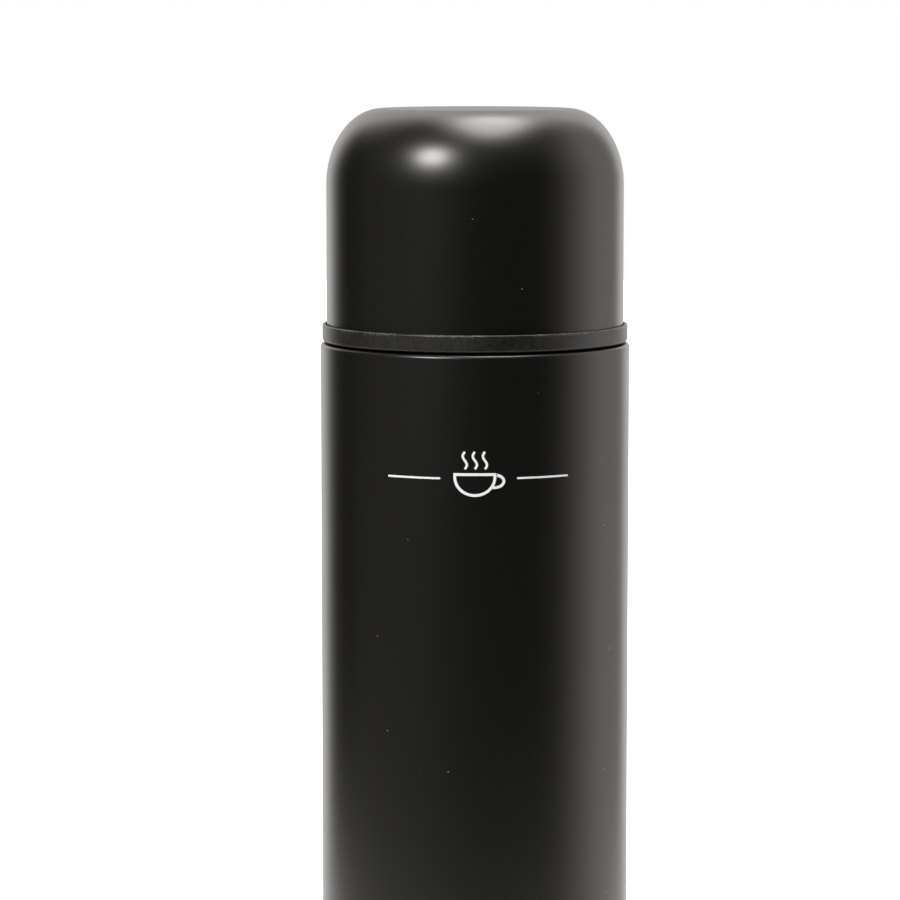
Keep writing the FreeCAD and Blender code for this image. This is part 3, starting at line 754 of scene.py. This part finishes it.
# Cup shell. The same steel and paint, drawn in one piece with a flat top and a soft elliptical shoulder.
# Its open end sits in a groove of the plastic liner.
cup_low, cup_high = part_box("cup_shell")
cup_radius = cup_high[0]
cup_top = cup_high[2]
dome_width = 12.5 * MM
dome_height = 17.0 * MM
crown = 0.15 * MM


def dome_points(radius, top, width, height, steps=32):
    """A dome's outline from its side to its middle: a quarter ellipse, and a faint crown on the flat."""
    angles = [math.pi / 2 * k / steps for k in range(steps + 1)]
    outline = [(radius - width + width * math.cos(a), top - height + height * math.sin(a)) for a in angles]
    outline += [((radius - width) * (1 - k / 6), top) for k in range(1, 7)]
    return [Vector((x, z - crown * (x / radius) ** 2)) for x, z in outline]


cup_inner = cup_radius - shell_wall
dome_inner = dome_points(cup_inner, cup_top - shell_wall, dome_width - shell_wall, dome_height - shell_wall)
cup_outline = [Vector((cup_radius, cup_low[2]))]
cup_outline += dome_points(cup_radius, cup_top, dome_width, dome_height)
cup_outline += dome_inner[::-1] + [Vector((cup_inner, cup_low[2]))]
cup_dome = turned("cup_dome", cup_outline, paint)
stand_in(cup_dome, "cup", "black_paint", "cup_shell")

# Cup liner. The drinking cup inside the shell, moulded in grained black plastic. Its thick rim rings the
# open end and covers the shell's edge, and its mouth has the thread that turns on the neck.
ring_low, ring_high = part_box("cup_liner")
cup_z = ring_low[2]
ring_radius = ring_high[0]
crest_play = 0.45 * MM
thread_play = 0.35 * MM
cup_ridge_rise = 2.6 * MM
cup_ridge_climb = 7.5 * MM
cup_bore = neck_radius + thread_depth + crest_play
cup_ridge_depth = cup_bore - neck_radius - thread_play
cup_ridge_low = cup_z + cup_ridge_rise
cup_ridge_top = cup_ridge_low + cup_ridge_climb
cup_ridge = ridge(neck_thread_z - lead / 2, cup_ridge_low, cup_ridge_top)
cup_wall = 1.6 * MM
cup_lean = 0.4 * MM
bead = 0.5 * MM
bead_drop = 0.3 * MM
bead_length = 1.2 * MM
ledge_z = lip_z + 1.8 * MM
ledge_width = 0.8 * MM
step_drop = 1.0 * MM
ring_top = cup_z + 3.95 * MM
ring_corner = 0.8 * MM
spigot_top = ring_top + 2.2 * MM
groove_z = cup_z + 1.5 * MM
groove_play = 0.15 * MM
spigot = cup_inner - groove_play
waist = cup_bore - ledge_width + cup_wall
lower = cup_bore + cup_wall
edge = 0.3 * MM
liner_outline = [
    (0, ring_high[2] - cup_wall),
    (cup_bore - ledge_width - cup_lean, ring_high[2] - cup_wall, dome_width),
    (cup_bore - ledge_width, ledge_z, edge / 2),
    (cup_bore, ledge_z),
    (cup_bore, lip_z),
    (cup_bore - bead, lip_z - bead_drop, edge / 3),
    (cup_bore, lip_z - bead_length),
    (cup_bore, cup_z, 2 * edge),
    (ring_radius, cup_z, ring_corner),
    (ring_radius, ring_top, edge),
    (cup_radius + groove_play, ring_top, edge),
    (cup_radius + groove_play, groove_z),
    (spigot, groove_z),
    (spigot, spigot_top),
    (lower, spigot_top + spigot - lower),
    (lower, ledge_z - step_drop - lower + waist),
    (waist, ledge_z - step_drop),
    (waist - cup_lean, ring_high[2], dome_width + cup_wall),
    (0, ring_high[2]),
]


def cup_reshape(radius, angle, z):
    """Raises the thread on the bore, and leaves the outside as it is."""
    on_bore = abs(radius - cup_bore) < 0.05 * MM
    return radius - cup_ridge_depth * cup_ridge(angle, z) * on_bore


# The rim's top edge gets pale patches: a painted highlight, with some wear and dust.
rim_plastic = moulded("rim_plastic", grey(0.0003), grey(0.019), 0.37, 0.5 * MM, 0.05 * MM, ring_top)
cup_rows = with_rows(rounded(liner_outline), cup_ridge_low, cup_ridge_top)
cup_liner = turned("drinking_cup", cup_rows, rim_plastic, cup_reshape)
stand_in(cup_liner, "cup", "black_plastic", "cup_liner")

# Cup seal. A flat silicone ring, cut from sheet and held under the liner's ledge by a bead. It rests on the
# lip of the mouth when the cup is screwed down.
low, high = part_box("cup_gasket")
reach = 3.15 * MM
washer = [
    (high[0] - reach, low[2], soft),
    (high[0], low[2], soft),
    (high[0], high[2], soft),
    (high[0] - reach, high[2], soft),
]
cup_ring = turned("cup_ring_seal", rounded(washer), silicone)
stand_in(cup_ring, "cup_seal", "silicone", "cup_gasket")

# Studio floor. A pale sheet that ends a short way round the flask, as its paint mirrors it, and that
# fades to plain white further off.
floor_half = 3.0
sheet_middle = 0.10
sheet_near = 0.22
sheet_far = 0.42
floor_mesh = bpy.data.meshes.new("floor")
corners = [(x * floor_half, y * floor_half, 0) for x, y in ((-1, -1), (1, -1), (1, 1), (-1, 1))]
floor_mesh.from_pydata(corners, [], [(0, 1, 2, 3)])
floor = bpy.data.objects.new("floor", floor_mesh)
bpy.context.scene.collection.objects.link(floor)
floor_paint, build, shader = new_material("studio_floor", Roughness=0.9, Specular_IOR_Level=0.0)
shader.inputs["Base Color"].default_value = grey(0.82)
shader.inputs["Emission Strength"].default_value = 1.0
seen = build.node("ShaderNodeLightPath", {}, {})
ends = {0: place_of(build), 1: (0, sheet_middle, 0)}
distance = build.node("ShaderNodeVectorMath", {"operation": "DISTANCE"}, ends, 1)
far = distance.ramp(sheet_near, sheet_far)
feed(shader, Emission_Color=(far * seen).blend(grey(0.0), grey(1.0)))
open_air = build.node("ShaderNodeBsdfTransparent", {}, {})
pale = Socket(build.tree, shader.outputs[0])
mixed = build.node("ShaderNodeMixShader", {}, {0: far * (1 - seen), 1: pale, 2: open_air})
build.tree.links.new(mixed.socket, build.tree.nodes["Material Output"].inputs["Surface"])
floor_mesh.materials.append(floor_paint)

# Studio light. The walls round the flask, bright behind it and dark in front, with a tall soft box on the
# right, as (degrees to the right of straight in front, brightness). Two ovals overhead light the dome, and a
# small lamp stands front left.
walls = [
    (-180, 0.8),
    (-165, 1.2),
    (-152, 1.9),
    (-143, 1.3),
    (-133, 0.1),
    (-121, 0.02),
    (-107, 0.07),
    (-90, 0.22),
    (-58, 0.23),
    (-38, 0.17),
    (-19, 0.1),
    (0, 0.06),
    (34, 0.06),
    (52, 0.04),
    (66, 0.17),
    (85, 1.0),
    (96, 1.4),
    (107, 1.6),
    (121, 1.15),
    (139, 0.5),
    (151, 1.9),
    (165, 1.2),
    (180, 0.8),
]
brightest = 2.4
warmth = 0.04
world = bpy.data.worlds.new("studio")
bpy.context.scene.world = world
world.use_nodes = True
build = Socket(world.node_tree)
direction = build.node("ShaderNodeTexCoord", {}, {}, 0)
across = build.node("ShaderNodeSeparateXYZ", {}, {0: direction}, 0)
away = build.node("ShaderNodeSeparateXYZ", {}, {0: direction}, 1)
up = build.node("ShaderNodeSeparateXYZ", {}, {0: direction}, 2)
turn = build.math("ARCTAN2", across, -1 * away) * (1 / math.tau) + 0.5
stops = [(angle / 360 + 0.5, grey(level / brightest, warmth)) for angle, level in walls]
wall_light = build.node("ShaderNodeValToRGB", {"stops": stops}, {"Fac": turn})
ceiling = up.ramp(0.45, 0.8)
ceiling_light = away.ramp(0.1, 0.6).blend(grey(0.12 / brightest, warmth), grey(2.2 / brightest, warmth))
around = ceiling.blend(wall_light, ceiling_light)
seen = build.node("ShaderNodeLightPath", {}, {})
colour = seen.blend(around, grey(1.0))
strength = seen * (1 - brightest) + brightest
background = world.node_tree.nodes["Background"]
world.node_tree.links.new(colour.socket, background.inputs["Color"])
world.node_tree.links.new(strength.socket, background.inputs["Strength"])


def soft_box(name, place, width, height, brightness, aim=None):
    """An oval light whose face has the given brightness. It faces down, or towards a point."""
    data = bpy.data.lights.new(name, "AREA")
    data.shape = "ELLIPSE"
    data.size = width
    data.size_y = height
    data.energy = brightness * math.pi * (math.pi / 4) * width * height
    data.color = grey(1.0, warmth / 2)[:3]
    lamp = bpy.data.objects.new(name, data)
    bpy.context.scene.collection.objects.link(lamp)
    lamp.location = place
    if aim:
        lamp.rotation_euler = (Vector(aim) - Vector(place)).to_track_quat("-Z", "Y").to_euler()


overhead = (0.137, 0.01, cup_top + 1.0)
soft_box("overhead_box", overhead, 0.54, 0.95, 11.5)
soft_box("overhead_spill", overhead, 0.85, 1.5, 2.0)
soft_box("small_lamp", (-0.625, -0.83, 0.92), 0.44, 0.38, 38, aim=(0, 0, cup_top))
bpy.context.scene.view_settings.view_transform = "Standard"

# Camera. A long lens that stands a little above the cup and looks slightly down. The flask's lowest quarter
# is out of its view.
camera_distance = 0.840
camera_height = cup_top + 0.019
aim_height = 0.1674
camera_data = bpy.data.cameras.new("camera")
camera_data.lens = 148.5
camera_data.sensor_width = 36.0
camera_turn = math.radians(0.386)
camera = bpy.data.objects.new("camera", camera_data)
bpy.context.scene.collection.objects.link(camera)
camera.location = (0, -camera_distance, camera_height)
pitch = math.atan2(camera_height - aim_height, camera_distance)
camera.rotation_euler = (math.pi / 2 - pitch, 0, camera_turn)
bpy.context.scene.camera = camera
